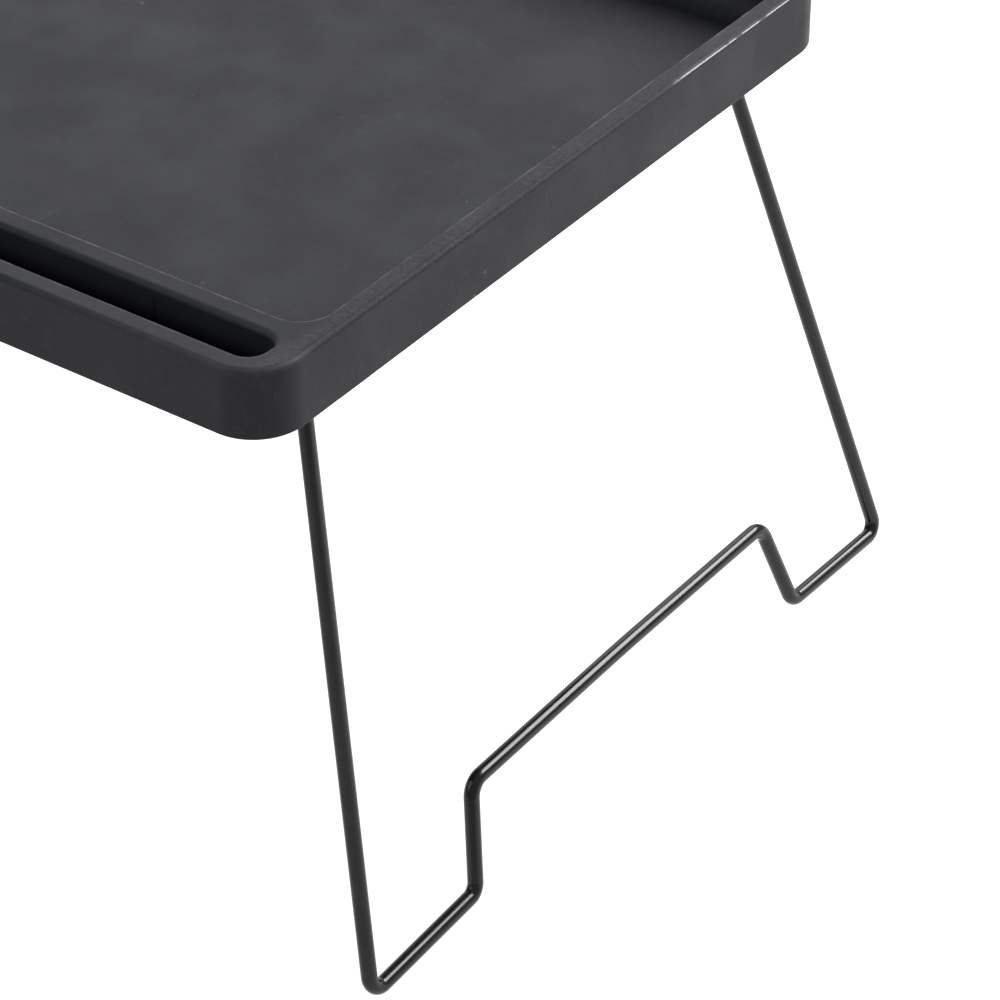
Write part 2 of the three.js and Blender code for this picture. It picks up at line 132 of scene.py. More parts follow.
GAP = 0.3
BUSH_WALL = 0.9
BUSH_FLANGE_RADIUS = 5.1
BUSH_FLANGE = 1.0
BUSH_CHAMFER = 0.2
SADDLE_INNER_Y = 111.5
SADDLE_OUTER_Y = 129.5
SADDLE_MID_Y = (SADDLE_INNER_Y + SADDLE_OUTER_Y) / 2
SADDLE_HALF_LENGTH = 10.8
SADDLE_BORE = WIRE_RADIUS + BUSH_WALL + 2 * GAP
CAP_EAR = 2.6
CAP_NOSE = 6.5
CAP_SCREW_OFFSET = 7.6
CAP_TOP = PIVOT_Z - GAP
CAP_EAR_BOTTOM = CAP_TOP - CAP_EAR
CAP_EDGE_ROUND = 0.35
BLOCK_EDGE_ROUND = 0.4

STOP_THICKNESS = 3.6
STOP_BOTTOM = tray_low.z
STOP_INNER_Y = 132.0
STOP_OUTER_Y = 142.0

SCREW_RADIUS = 1.4
SCREW_HEAD_RADIUS = 2.5
SCREW_HEAD_HEIGHT = 1.5
SCREW_HEAD_CHAMFER = 0.15
SCREW_POINT = 1.2
SCREW_TURN = math.radians(37)
SCREW_TURNS = 5
THREAD_PITCH = 0.9
THREAD_DEPTH = 0.22
THREAD_ROOT = THREAD_PITCH / 4
THREAD_CREST = THREAD_PITCH / 2
DRIVE_REACH = 1.4
DRIVE_HALF_WIDTH = 0.35
DRIVE_DEPTH = 0.8
HINGE_SCREW_LENGTH = 8.8
CLIP_SCREW_LENGTH = 7.6

FOLDED_DROOP = math.radians(0.6)
STOWED_BAR_X = PIVOT_X - (BAR_DEPTH - BAR_BOW) * math.cos(FOLDED_DROOP)
STOWED_BAR_Z = PIVOT_Z - (BAR_DEPTH - BAR_BOW) * math.sin(FOLDED_DROOP)
CLIP_HALF_WIDTH = 8.0
CLIP_JAW = 2.4
CLIP_SLACK = 0.4
CLIP_SHOULDER = 2.0
CLIP_ROOF_GAP = 0.2
CLIP_TAB_REACH = 17.0
CLIP_TAB_THICKNESS = 2.4
CLIP_SCREW_OFFSET = 12.5
CLIP_BOSS_HEIGHT = 3.8
CLIP_BOSS_BOTTOM = TRAY_BOTTOM - CLIP_BOSS_HEIGHT
CLIP_TAB_BOTTOM = CLIP_BOSS_BOTTOM - GAP - CLIP_TAB_THICKNESS
JAW_LEAD_IN = 1.4
JAW_TIP_WIDTH = 1.3
JAW_TIP_CHAMFER = 0.7
CLIP_EDGE_ROUND = 0.3

# How far a cutting tool reaches past the face that it cuts.
CUT_PAST = 1.0

# Steps in each quarter turn, or in each named arc.
CORNER_STEPS = 20
ROUND_STEPS = 6
COVE_STEPS = 14
SEAT_STEPS = 24
SADDLE_ROOF_STEPS = 14
NOSE_STEPS = 20
JAW_STEPS = 12
BEND_STEPS = 16
LEAST_BEND_STEPS = 4
WIRE_SIDES = 40
BUSH_SIDES = 48
SCREW_SIDES = 32
HOLE_SIDES = 24

# In metres, for vertices that share a place.
WELD_DISTANCE = 1e-7

# Edges at more than this angle, in degrees, are rounded or kept sharp.
ROUND_SEGMENTS = 3
SHARP_ANGLE = 35
SCREW_SHARP_ANGLE = 25
BUSH_SHARP_ANGLE = 30
WIRE_SHARP_ANGLE = 40


# ---------------------------------------------------------------- camera

CAMERA_PLACE = (0.97288, -1.00545, 0.98143)
CAMERA_YAW = math.radians(35.82)
CAMERA_PITCH = math.radians(35.60)
CAMERA_ROLL = math.radians(-0.26)
CAMERA_LENS = 140.05
CAMERA_NEAR = 0.01


def make_camera():
    data = bpy.data.cameras.new("camera")
    data.lens = CAMERA_LENS
    data.clip_start = CAMERA_NEAR
    camera = bpy.data.objects.new("camera", data)
    bpy.context.scene.collection.objects.link(camera)
    aim = (Matrix.Rotation(CAMERA_YAW, 4, "Z") @ Matrix.Rotation(math.pi / 2 - CAMERA_PITCH, 4, "X")
           @ Matrix.Rotation(CAMERA_ROLL, 4, "Z"))
    camera.matrix_world = Matrix.Translation(CAMERA_PLACE) @ aim
    bpy.context.scene.camera = camera


# ---------------------------------------------------------------- mesh building

def arc(start, end, steps):
    """Angles from start to end, in degrees, returned in radians."""
    return [math.radians(start + (end - start) * k / steps) for k in range(steps + 1)]


def rounded_rectangle(x0, x1, y0, y1, radius, z):
    """A level loop, counter-clockwise seen from above, with the same number of points whatever its size."""
    points = []
    corners = ((x1 - radius, y1 - radius, 0), (x0 + radius, y1 - radius, 90),
               (x0 + radius, y0 + radius, 180), (x1 - radius, y0 + radius, 270))
    for cx, cy, first in corners:
        for a in arc(first, first + 90, CORNER_STEPS):
            points.append(Vector((cx + radius * math.cos(a), cy + radius * math.sin(a), z)))
    return points


class Shell:
    """The vertices and faces of one closed piece, in millimetres, added loop by loop."""

    def __init__(self):
        self.points = []
        self.faces = []
        self.edge_rub_and_highlight = []

    def loop(self, points):
        first = len(self.points)
        self.points += [Vector(p) for p in points]
        self.edge_rub_and_highlight += [0.0] * len(points)
        return list(range(first, len(self.points)))

    def band(self, a, b, inward=False):
        for i in range(len(a)):
            j = (i + 1) % len(a)
            face = (a[i], a[j], b[j], b[i])
            self.faces.append(face[::-1] if inward else face)

    def bands(self, loops, inward=False, rub_and_sheen=(), where=None):
        """Bands between loops. The loops listed are marked for the pale edge line, partly rubbing and partly a
        painted highlight, where the test picks them.
        """
        ids = [self.loop(points) for points in loops]
        for index in rub_and_sheen:
            for i in ids[index]:
                self.edge_rub_and_highlight[i] = 1.0 if where is None else float(where(self.points[i]))
        for a, b in zip(ids, ids[1:]):
            self.band(a, b, inward)
        return ids

    def cap(self, ids, inward=False):
        self.faces.append(tuple(ids[::-1] if inward else ids))

    def sheet(self, outer, holes, up=True):
        """A level face with holes in it, between loops that are already there."""
        ids = outer + [i for hole in holes for i in hole]
        rings = [[self.points[i] for i in ring] for ring in [outer] + list(holes)]
        for triangle in tessellate_polygon(rings):
            a, b, c = (self.points[ids[i]] for i in triangle)
            face = tuple(ids[i] for i in triangle)
            faces_up = (b - a).cross(c - a).z > 0
            self.faces.append(face if faces_up == up else face[::-1])

    def mesh(self, name):
        data = bpy.data.meshes.new(name)
        data.from_pydata([p * MM for p in self.points], [], self.faces)
        # The pale edge line, partly rubbing and partly a painted highlight, goes to the mesh as the edge
        # attribute.
        data.attributes.new("edge", "FLOAT", "POINT").data.foreach_set("value", self.edge_rub_and_highlight)
        data.update()
        return data


def linked(name, data):
    thing = bpy.data.objects.new(name, data)
    bpy.context.scene.collection.objects.link(thing)
    return thing


def extruded(outline, y0, y1):
    """A closed solid from an outline in X and Z, with its thickness along Y."""
    shell = Shell()
    front = shell.loop([(x, y0, z) for x, z in outline])
    back = shell.loop([(x, y1, z) for x, z in outline])
    shell.band(front, back)
    shell.cap(front, inward=True)
    shell.cap(back)
    return shell


def box(x0, x1, y0, y1, z0, z1):
    return extruded([(x0, z0), (x0, z1), (x1, z1), (x1, z0)], y0, y1)


def turned(profile, sides):
    """A closed solid of revolution from (radius, height) points that start and end on the axis or join up."""
    shell = Shell()
    rings = []
    for radius, height in profile:
        angles = arc(0, 360, sides)[:-1] if radius else [0]
        rings.append(shell.loop([(radius * math.cos(a), radius * math.sin(a), height) for a in angles]))
    pairs = list(zip(rings, rings[1:]))
    if profile[0][0]:
        pairs.append((rings[-1], rings[0]))
    for low, high in pairs:
        for i in range(sides):
            j = (i + 1) % sides
            face = [low[i % len(low)], low[j % len(low)], high[j % len(high)], high[i % len(high)]]
            shell.faces.append(tuple(dict.fromkeys(face)))
    return shell


def moved(shell, place):
    shell.points = [p + Vector(place) for p in shell.points]
    return shell


def laid_over(shell):
    """The same shell with its width and height exchanged."""
    shell.points = [Vector((p.x, p.z, p.y)) for p in shell.points]
    return shell


def crosswise(shell):
    """The same shell with its length and width exchanged."""
    shell.points = [Vector((p.y, p.x, p.z)) for p in shell.points]
    return shell


def mirrored(shell, sx, sy):
    shell.points = [Vector((sx * p.x, sy * p.y, p.z)) for p in shell.points]
    if sx * sy < 0:
        shell.faces = [face[::-1] for face in shell.faces]
    return shell


def facing_out(data):
    work = bmesh.new()
    work.from_mesh(data)
    bmesh.ops.remove_doubles(work, verts=work.verts, dist=WELD_DISTANCE)
    bmesh.ops.recalc_face_normals(work, faces=work.faces)
    work.to_mesh(data)
    work.free()


def thing_from(name, shell):
    data = shell.mesh(name)
    facing_out(data)
    return linked(name, data)


def settle(thing):
    """Turns the object's modifiers into its mesh."""
    bpy.context.view_layer.update()
    evaluated = thing.evaluated_get(bpy.context.evaluated_depsgraph_get())
    data = bpy.data.meshes.new_from_object(evaluated)
    thing.modifiers.clear()
    thing.data = data
    return thing


def rounded(thing, width):
    """Small rounds along the hard edges."""
    rounds = thing.modifiers.new("rounds", "BEVEL")
    rounds.width = width * MM
    rounds.segments = ROUND_SEGMENTS
    rounds.limit_method = "ANGLE"
    rounds.angle_limit = math.radians(SHARP_ANGLE)
    return settle(thing)


def combine(thing, shells, operation, rounding=0.0):
    """Joins the shells to the object, or cuts them from it, one after another."""
    for index, shell in enumerate(shells):
        tool = thing_from(f"tool_{index}", shell)
        if rounding:
            rounded(tool, rounding)
        cut = thing.modifiers.new("cut", "BOOLEAN")
        cut.operation = operation
        cut.solver = "EXACT"
        cut.object = tool
        settle(thing)
        bpy.data.objects.remove(tool)
    return thing


def shaded(thing, angle=SHARP_ANGLE):
    """Smooth shading that stays flat on flat faces."""
    for face in thing.data.polygons:
        face.use_smooth = True
    thing.data.set_sharp_from_angle(angle=math.radians(angle))
    weighted = thing.modifiers.new("weighted", "WEIGHTED_NORMAL")
    weighted.keep_sharp = True
    return thing


def finish_piece(thing, body, node, material):
    thing.data.materials.clear()
    thing.data.materials.append(material)
    for face in thing.data.polygons:
        face.material_index = 0
    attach(thing, body)
    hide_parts(node)


# ---------------------------------------------------------------- materials

class Finish:
    """A node material around one Principled shader, with helpers that keep its graph short to write."""

    def __init__(self, name, colour, roughness, **inputs):
        self.material = bpy.data.materials.new(name)
        self.material.use_nodes = True
        self.tree = self.material.node_tree
        self.shader = self.tree.nodes["Principled BSDF"]
        self.shader.inputs["Base Color"].default_value = (*colour, 1)
        self.shader.inputs["Roughness"].default_value = roughness
        for socket, value in inputs.items():
            self.shader.inputs[socket.replace("_", " ")].default_value = value
        self.place = self.tree.nodes.new("ShaderNodeTexCoord").outputs["Object"]

    def noise(self, scale, detail=2.0, roughness=0.5, stretch=(1, 1, 1), distortion=0.0):
        node = self.tree.nodes.new("ShaderNodeTexNoise")
        node.inputs["Scale"].default_value = scale
        node.inputs["Detail"].default_value = detail
        node.inputs["Roughness"].default_value = roughness
        node.inputs["Distortion"].default_value = distortion
        self.tree.links.new(self.stretched(stretch), node.inputs["Vector"])
        return node.outputs["Fac"]

    def stretched(self, stretch, turn=0.0):
        """The object's coordinates, scaled along each axis and turned about Z."""
        node = self.tree.nodes.new("ShaderNodeMapping")
        node.inputs["Scale"].default_value = stretch
        node.inputs["Rotation"].default_value = (0, 0, turn)
        self.tree.links.new(self.place, node.inputs["Vector"])
        return node.outputs["Vector"]

    def cells(self, scale):
        """The distance to the nearest of many scattered points."""
        node = self.tree.nodes.new("ShaderNodeTexVoronoi")
        node.inputs["Scale"].default_value = scale
        self.tree.links.new(self.place, node.inputs["Vector"])
        return node.outputs["Distance"]

    def scratches(self, scale, turn, stretch):
        """Noise drawn out into fine lines."""
        node = self.tree.nodes.new("ShaderNodeTexNoise")
        node.inputs["Scale"].default_value = scale
        node.inputs["Detail"].default_value = 1.0
        self.tree.links.new(self.stretched(stretch, turn), node.inputs["Vector"])
        return node.outputs["Fac"]

    def attribute(self, name):
        node = self.tree.nodes.new("ShaderNodeAttribute")
        node.attribute_name = name
        return node.outputs["Fac"]

    def along(self, axis, absolute=False):
        """The distance along the object's own X, Y or Z axis, in metres, with its sign or without."""
        node = self.tree.nodes.new("ShaderNodeSeparateXYZ")
        self.tree.links.new(self.place, node.inputs["Vector"])
        value = node.outputs[axis]
        return self.maths("ABSOLUTE", value, 0.0) if absolute else value

    def fade(self, axis, places, start=0.0, end=1.0, absolute=False):
        """Goes from start to end between two places along an axis, which are in millimetres."""
        first, last = (place * MM for place in places)
        return self.remap(self.along(axis, absolute), first, last, start, end)

    def times(self, *values):
        product = values[0]
        for value in values[1:]:
            product = self.maths("MULTIPLY", product, value)
        return product

    def remap(self, value, low, high, to_low, to_high):
        """Goes smoothly from to_low to to_high as the value goes from low to high, and no further."""
        node = self.tree.nodes.new("ShaderNodeMapRange")
        node.interpolation_type = "SMOOTHSTEP"
        node.inputs["From Min"].default_value = low
        node.inputs["From Max"].default_value = high
        node.inputs["To Min"].default_value = to_low
        node.inputs["To Max"].default_value = to_high
        self.tree.links.new(value, node.inputs["Value"])
        return node.outputs["Result"]

    def maths(self, operation, a, b):
        node = self.tree.nodes.new("ShaderNodeMath")
        node.operation = operation
        for socket, value in zip(node.inputs, (a, b)):
            if isinstance(value, (int, float)):
                socket.default_value = value
            else:
                self.tree.links.new(value, socket)
        return node.outputs["Value"]

    def mix(self, share, a, b):
        """Colour a where the share is 0 and colour b where it is 1."""
        node = self.tree.nodes.new("ShaderNodeMix")
        node.data_type = "RGBA"
        self.tree.links.new(share, node.inputs["Factor"])
        for socket, value in ((node.inputs["A"], a), (node.inputs["B"], b)):
            if isinstance(value, tuple):
                socket.default_value = (*value, 1)
            else:
                self.tree.links.new(value, socket)
        return node.outputs["Result"]

    def blend(self, share, a, b):
        """Value a where the share is 0 and the number b where it is 1."""
        rest = self.maths("SUBTRACT", 1.0, share)
        return self.maths("ADD", self.times(a, rest), self.times(share, b))

    def bump(self, height, strength, distance, under=None):
        node = self.tree.nodes.new("ShaderNodeBump")
        node.inputs["Strength"].default_value = strength
        node.inputs["Distance"].default_value = distance
        self.tree.links.new(height, node.inputs["Height"])
        if under is not None:
            self.tree.links.new(under, node.inputs["Normal"])
        return node.outputs["Normal"]

    def paint(self, colour=None, roughness=None, normal=None, shine=None):
        for socket, value in (("Base Color", colour), ("Roughness", roughness), ("Normal", normal),
                              ("Specular IOR Level", shine)):
            if value is not None:
                self.tree.links.new(value, self.shader.inputs[socket])
        return self.material


# Where the tray's marks, its painted shade and its painted highlights fade in or out: places, or pairs of
# places, along one of its axes, in millimetres.
RIM_INNER_X = HALF_LENGTH - RIM_WIDTH
RIM_INNER_Y = HALF_WIDTH - RIM_WIDTH
PALE_RIM_X = (RIM_INNER_X - 2.1, RIM_INNER_X + 1.9)
PALE_RIM_Y = (RIM_INNER_Y - 2.1, RIM_INNER_Y + 1.9)
PALE_RIM_Z = (TRAY_TOP - 2.1, TRAY_TOP - 0.7)

CROWN_BACK_Y = (-HALF_WIDTH + TRAY_CORNER + 1, -HALF_WIDTH + TRAY_CORNER + 9)
CROWN_FOOT_Z = (TRAY_TOP - 2.8, TRAY_TOP - 0.7)
CROWN_TOP_Z = (TRAY_TOP - 0.3, TRAY_TOP - 0.05)
CROWN_ENDS_X = (150.0, 265.0)

SLOT_FRONT_Y = SLOT_CENTRE_Y - SLOT_HALF_WIDTH
SLOT_BACK_Y = SLOT_CENTRE_Y + SLOT_HALF_WIDTH
SLOT_SHADE_FRONT_Y = (SLOT_FRONT_Y - 2.7, SLOT_FRONT_Y - 1.2)
SLOT_SHADE_BACK_Y = (SLOT_BACK_Y + 0.7, SLOT_BACK_Y + 1.6)
SLOT_SHADE_END_X = (SLOT_HALF_LENGTH + 1.3, SLOT_HALF_LENGTH + 2.3)
SLOT_SHADE_TOP_Z = (TRAY_TOP - 3.5, TRAY_TOP - 1.5)
SLOT_DARKENING_Z = (TRAY_TOP - 15.5, TRAY_TOP - 6.5)

OUTER_EDGE_X = (HALF_LENGTH - 3.5, HALF_LENGTH - 2.8)
GLOSSY_EDGE_Y = (62.0, 78.0)

TRAY_SHINE = 0.17
DULL_EDGE_SHINE = 0.13
DULL_EDGE_ROUGHNESS = 0.62
GLOSSY_EDGE_SHINE = 0.3
GLOSSY_EDGE_ROUGHNESS = 0.14


def charcoal(finish):
    """Dark cloudy plastic with a fine mottle."""
    clouds = finish.remap(finish.noise(9.0, 3.0, 0.55, distortion=0.6), 0.34, 0.68, 0, 1)
    base = finish.mix(clouds, (0.0127, 0.0133, 0.0162), (0.0156, 0.0162, 0.0194))
    mottle = finish.remap(finish.noise(210.0, 4.0, 0.62), 0.52, 0.72, 0, 0.5)
    return finish.mix(mottle, base, (0.0255, 0.026, 0.030))


def with_pale_rim(finish, base):
    """The chalky top of the rim, along the ends and the back."""
    ends = finish.fade("X", PALE_RIM_X, absolute=True)
    back = finish.fade("Y", PALE_RIM_Y)
    rim = finish.times(finish.maths("MAXIMUM", ends, back), finish.fade("Z", PALE_RIM_Z))
    chalk = finish.remap(finish.noise(950.0, 3.0, 0.7), 0.44, 0.66, 0.15, 1.0)
    return finish.mix(finish.times(chalk, rim), base, (0.0325, 0.033, 0.037))


def with_painted_crown_highlight(finish, base):
    """A painted soft highlight along the outer top edge at the front, strongest round its corners."""
    crown = finish.times(finish.fade("Y", CROWN_BACK_Y, 1, 0),
                         finish.fade("Z", CROWN_FOOT_Z),
                         finish.fade("Z", CROWN_TOP_Z, 1, 0.2),
                         finish.fade("X", CROWN_ENDS_X, 0.17, 0.95, absolute=True),
                         finish.remap(finish.noise(260.0, 3.0, 0.6), 0.35, 0.65, 0.7, 1.0))
    # Painted highlight: a paler colour along the front's outer top edge.
    return finish.mix(crown, base, (0.045, 0.0455, 0.050))


def with_painted_slot_shade(finish, base):
    """Painted shade on the slot's walls, darker with their depth."""
    inside = finish.times(finish.fade("Y", SLOT_SHADE_FRONT_Y),
                          finish.fade("Y", SLOT_SHADE_BACK_Y, 1, 0),
                          finish.fade("X", SLOT_SHADE_END_X, 1, 0, absolute=True),
                          finish.fade("Z", SLOT_SHADE_TOP_Z, 1, 0))
    # Painted shade: near black deep in the slot, the plastic's own tone near the rim.
    wall = finish.mix(finish.fade("Z", SLOT_DARKENING_Z), (0.0035, 0.0036, 0.0042), (0.0245, 0.0255, 0.030))
    return finish.mix(inside, base, wall)


def with_marks(finish, base, edge, outer):
    """Pale lines along the crisp edges, partly rubbing and partly a painted highlight, a few specks and faint
    scratches.
    """
    scuff_and_highlight = finish.remap(finish.noise(95.0, 5.0, 0.7), 0.45, 0.64, 0.2, 1.0)
    # Pale line along the crisp edges, partly rubbing and partly a painted highlight, weak on the outer edge.
    base = finish.mix(finish.times(edge, finish.blend(outer, scuff_and_highlight, 0.06)), base, (0.085, 0.084, 0.087))
    specks = finish.times(finish.remap(finish.cells(72.0), 0.045, 0.075, 1, 0),
                          finish.remap(finish.noise(30.0, 1.0), 0.56, 0.66, 0, 0.5))
    base = finish.mix(specks, base, (0.12, 0.115, 0.11))
    lines = finish.times(finish.remap(finish.scratches(60.0, 0.5, (0.5, 14.0, 1.0)), 0.71, 0.78, 0, 0.25),
                         finish.remap(finish.noise(14.0, 1.0), 0.52, 0.62, 0, 1))
    return finish.mix(lines, base, (0.06, 0.06, 0.063))


def edge_gloss(finish, outer_edge):
    """Roughness and shine: dull on the outer top edge, but glossy towards the back, where it is burnished."""
    rub_and_sheen = finish.remap(finish.noise(140.0, 2.0, 0.5), 0.4, 0.5, 0.3, 1)
    gloss = finish.times(outer_edge, finish.fade("Y", GLOSSY_EDGE_Y), rub_and_sheen)
    rough = finish.remap(finish.noise(26.0, 4.0, 0.6), 0.3, 0.7, 0.45, 0.56)
    rough = finish.blend(gloss, finish.blend(outer_edge, rough, DULL_EDGE_ROUGHNESS), GLOSSY_EDGE_ROUGHNESS)
    shine = finish.remap(outer_edge, 0, 1, TRAY_SHINE, DULL_EDGE_SHINE)
    return rough, finish.blend(gloss, shine, GLOSSY_EDGE_SHINE)


def tray_plastic():
    """Charcoal polypropylene, finely grained and cloudy, pale along its crisp edges from rubbing and a painted
    highlight, with painted shade in the slot and a painted highlight on the front's outer edge.
    """
    finish = Finish("tray_plastic", (0.015, 0.016, 0.0185), 0.5, Specular_IOR_Level=TRAY_SHINE)
    edge = finish.attribute("edge")
    outer = finish.fade("X", OUTER_EDGE_X, absolute=True)
    base = with_pale_rim(finish, charcoal(finish))
    base = with_painted_slot_shade(finish, with_painted_crown_highlight(finish, base))
    base = with_marks(finish, base, edge, outer)
    rough, shine = edge_gloss(finish, finish.times(edge, outer))
    fine = finish.bump(finish.noise(1900.0, 2.0, 0.6), 0.22, 0.00006)
    wide = finish.bump(finish.noise(16.0, 2.0, 0.5), 0.2, 0.0006, under=fine)
    return finish.paint(base, rough, wide, shine)


def wire_coating():
    """Black powder coat: satin, with the slight orange peel that the powder leaves."""
    finish = Finish("wire_coating", (0.009, 0.0085, 0.0088), 0.2, Specular_IOR_Level=0.32)
    patch = finish.remap(finish.noise(40.0, 3.0, 0.5), 0.35, 0.65, 0, 1)
    base = finish.mix(patch, (0.0075, 0.0071, 0.0072), (0.0108, 0.0102, 0.0102))
    specks = finish.remap(finish.cells(420.0), 0.05, 0.09, 0.25, 0)
    base = finish.mix(specks, base, (0.05, 0.047, 0.045))
    rough = finish.remap(finish.noise(120.0, 2.0, 0.5), 0.3, 0.7, 0.165, 0.2)
    peel = finish.bump(finish.noise(300.0, 1.0, 0.4), 0.06, 0.00008)
    return finish.paint(base, rough, peel)


def cap_plastic():
    """Black nylon, matte and grained."""
    finish = Finish("cap_plastic", (0.017, 0.017, 0.018), 0.5, Specular_IOR_Level=0.4)
    patch = finish.remap(finish.noise(120.0, 4.0, 0.6), 0.35, 0.65, 0, 1)
    base = finish.mix(patch, (0.014, 0.014, 0.015), (0.024, 0.024, 0.025))
    rough = finish.remap(finish.noise(90.0, 3.0, 0.6), 0.3, 0.7, 0.42, 0.6)
    grain = finish.bump(finish.noise(2400.0, 2.0, 0.6), 0.35, 0.00008)
    return finish.paint(base, rough, grain)


def bush_plastic():
    """Natural acetal, off-white, with faint turning marks."""
    finish = Finish("bush_plastic", (0.7, 0.68, 0.62), 0.38, Specular_IOR_Level=0.5)
    patch = finish.remap(finish.noise(260.0, 3.0, 0.5), 0.35, 0.65, 0, 1)
    base = finish.mix(patch, (0.66, 0.64, 0.58), (0.74, 0.72, 0.67))
    rough = finish.remap(finish.noise(500.0, 2.0, 0.5), 0.3, 0.7, 0.32, 0.46)
    rings = finish.bump(finish.noise(900.0, 2.0, 0.5, stretch=(1, 8, 1)), 0.2, 0.00005)
    return finish.paint(base, rough, rings)


def plated_steel():
    """Bright zinc plating, finely marked."""
    finish = Finish("plated_steel", (0.6, 0.6, 0.62), 0.3, Metallic=1.0)
    patch = finish.remap(finish.noise(600.0, 4.0, 0.6), 0.35, 0.65, 0, 1)
    base = finish.mix(patch, (0.5, 0.5, 0.52), (0.68, 0.68, 0.69))
    rough = finish.remap(finish.noise(1100.0, 3.0, 0.6), 0.3, 0.7, 0.22, 0.42)
    marks = finish.bump(finish.noise(1800.0, 2.0, 0.5), 0.2, 0.00004)
    return finish.paint(base, rough, marks)


FLOOR_GLOW_Y = (-350.0, 420.0)
FLOOR_GLOW_FRONT = 0.89
FLOOR_GLOW_BACK = 1.5


def floor_paint():
    """White acrylic with a painted glow: the floor emits light of its own, stronger towards the back."""
    finish = Finish("studio_floor", (0.12, 0.12, 0.12), 0.8, Specular_IOR_Level=0.1,
                    Emission_Color=(1, 1, 1, 1), Emission_Strength=0.92)
    # Painted glow: the floor emits light itself, weaker in front and stronger at the back.
    glow = finish.fade("Y", FLOOR_GLOW_Y, FLOOR_GLOW_FRONT, FLOOR_GLOW_BACK)
    finish.tree.links.new(glow, finish.shader.inputs["Emission Strength"])
    patch = finish.noise(3.0, 2.0, 0.5)
    return finish.paint(finish.mix(patch, (0.115, 0.115, 0.115), (0.125, 0.125, 0.125)))


# ---------------------------------------------------------------- tray

def outer_loop(inset, z):
    return rounded_rectangle(-HALF_LENGTH + inset, HALF_LENGTH - inset, -HALF_WIDTH + inset,
                             HALF_WIDTH - inset, TRAY_CORNER - inset, z)


def recess_loop(inset, z):
    return rounded_rectangle(-HALF_LENGTH + RIM_WIDTH + inset, HALF_LENGTH - RIM_WIDTH - inset,
                             -HALF_WIDTH + FRONT_BAR + inset, HALF_WIDTH - RIM_WIDTH - inset,
                             max(RECESS_CORNER - inset, RECESS_LEAST_CORNER), z)


def top_round(y):
    """Radius of the tray's outer top edge, which is softer in front than at the back."""
    return TOP_ROUND_FRONT + (TOP_ROUND_BACK - TOP_ROUND_FRONT) * (y + HALF_WIDTH) / (2 * HALF_WIDTH)


def skirt_outside():
    """From the skirt's lower inner edge, round the foot of the skirt and up to the rim's flat top."""
    foot = [outer_loop(BOTTOM_ROUND * (1 - math.sin(a)), TRAY_BOTTOM + BOTTOM_ROUND * (1 - math.cos(a)))
            for a in arc(0, 90, ROUND_STEPS)]
    base = outer_loop(0, TRAY_TOP)
    inward = [q - p for p, q in zip(base, outer_loop(1, TRAY_TOP))]
    radii = [top_round(p.y) for p in base]
    crown = [[p + step * r * (1 - math.cos(a)) - Vector((0, 0, r * (1 - math.sin(a))))
              for p, step, r in zip(base, inward, radii)] for a in arc(0, 90, ROUND_STEPS + 2)]
    return foot + crown + [[p + step * (r + EDGE_LINE_WIDTH) for p, step, r in zip(base, inward, radii)]]


def cove_of(grow):
    """The cove between the recess wall and floor: its radius, and its centre's inset and height."""
    radius = RECESS_COVE + grow
    height = FLOOR_TOP - grow + radius
    inset = (TRAY_TOP - height) * math.tan(RECESS_SLOPE) + radius / math.cos(RECESS_SLOPE) - grow
    return radius, inset, height


def recess_profile(grow):
    """The wall from the rim down to the flat floor, as (inset from the rim's inner edge, height) points."""
    radius, inset, height = cove_of(grow)
    if grow:
        profile = [(-grow + WALL * math.tan(RECESS_SLOPE), CHANNEL_TOP)]
    else:
        profile = [(-RECESS_EDGE - EDGE_LINE_WIDTH, TRAY_TOP)]
        profile += [(-RECESS_EDGE * (1 - math.sin(a)), TRAY_TOP - RECESS_EDGE * (1 - math.cos(a)))
                    for a in arc(0, 90, ROUND_STEPS // 2)]
    profile += [(inset - radius * math.cos(a), height - radius * math.sin(a))
                for a in arc(math.degrees(RECESS_SLOPE), 90, COVE_STEPS)]
    return profile


def mid_wall_height(distance):
    """Height of the middle of the recess wall or floor, at a distance inward from the skirt's outer face."""
    radius, inset, height = cove_of(WALL / 2)
    beside = min(max(inset - (distance - RIM_WIDTH), 0), radius)
    return height - math.sqrt(radius ** 2 - beside ** 2)


def recess_surface(grow):
    """The dished space from the rim's edge to its flat floor. Grown by the wall, it is the hidden side."""
    return [recess_loop(inset, z) for inset, z in recess_profile(grow)]


def slot_path(grow):
    """The slot's outline, as points with their outward directions and whether they lie in a seam.

    It is a long hole with round ends. Two seams cross its back wall.
    """
    radius = SLOT_HALF_WIDTH + grow
    end = SLOT_HALF_LENGTH - SLOT_HALF_WIDTH
    seams = {sx: [(sx * SLOT_SEAM_X + step * SLOT_SEAM_WIDTH / 4, abs(step) == 1) for step in (-2, -1, 1, 2)]
             for sx in SIDES.values()}
    between = [(sx * SLOT_SEAM_X / 2, False) for sx in (-1, 0, 1)]
    stations = [(-end, False), *seams[-1], *between, *seams[1], (end, False)]
    path = []
    for x, _ in stations[:-1]:
        path.append((Vector((x, SLOT_CENTRE_Y - radius, 0)), Vector((0, -1, 0)), False))
    for a in arc(-90, 90, 2 * CORNER_STEPS):
        out = Vector((math.cos(a), math.sin(a), 0))
        path.append((Vector((end, SLOT_CENTRE_Y, 0)) + out * radius, out, False))
    for x, in_seam in stations[-2:0:-1]:
        path.append((Vector((x, SLOT_CENTRE_Y + radius, 0)), Vector((0, 1, 0)), in_seam))
    for a in arc(90, 270, 2 * CORNER_STEPS)[:-1]:
        out = Vector((math.cos(a), math.sin(a), 0))
        path.append((Vector((-end, SLOT_CENTRE_Y, 0)) + out * radius, out, False))
    return path


def smooth_step(low, high, value):
    t = min(max((value - low) / (high - low), 0), 1)
    return t * t * (3 - 2 * t)


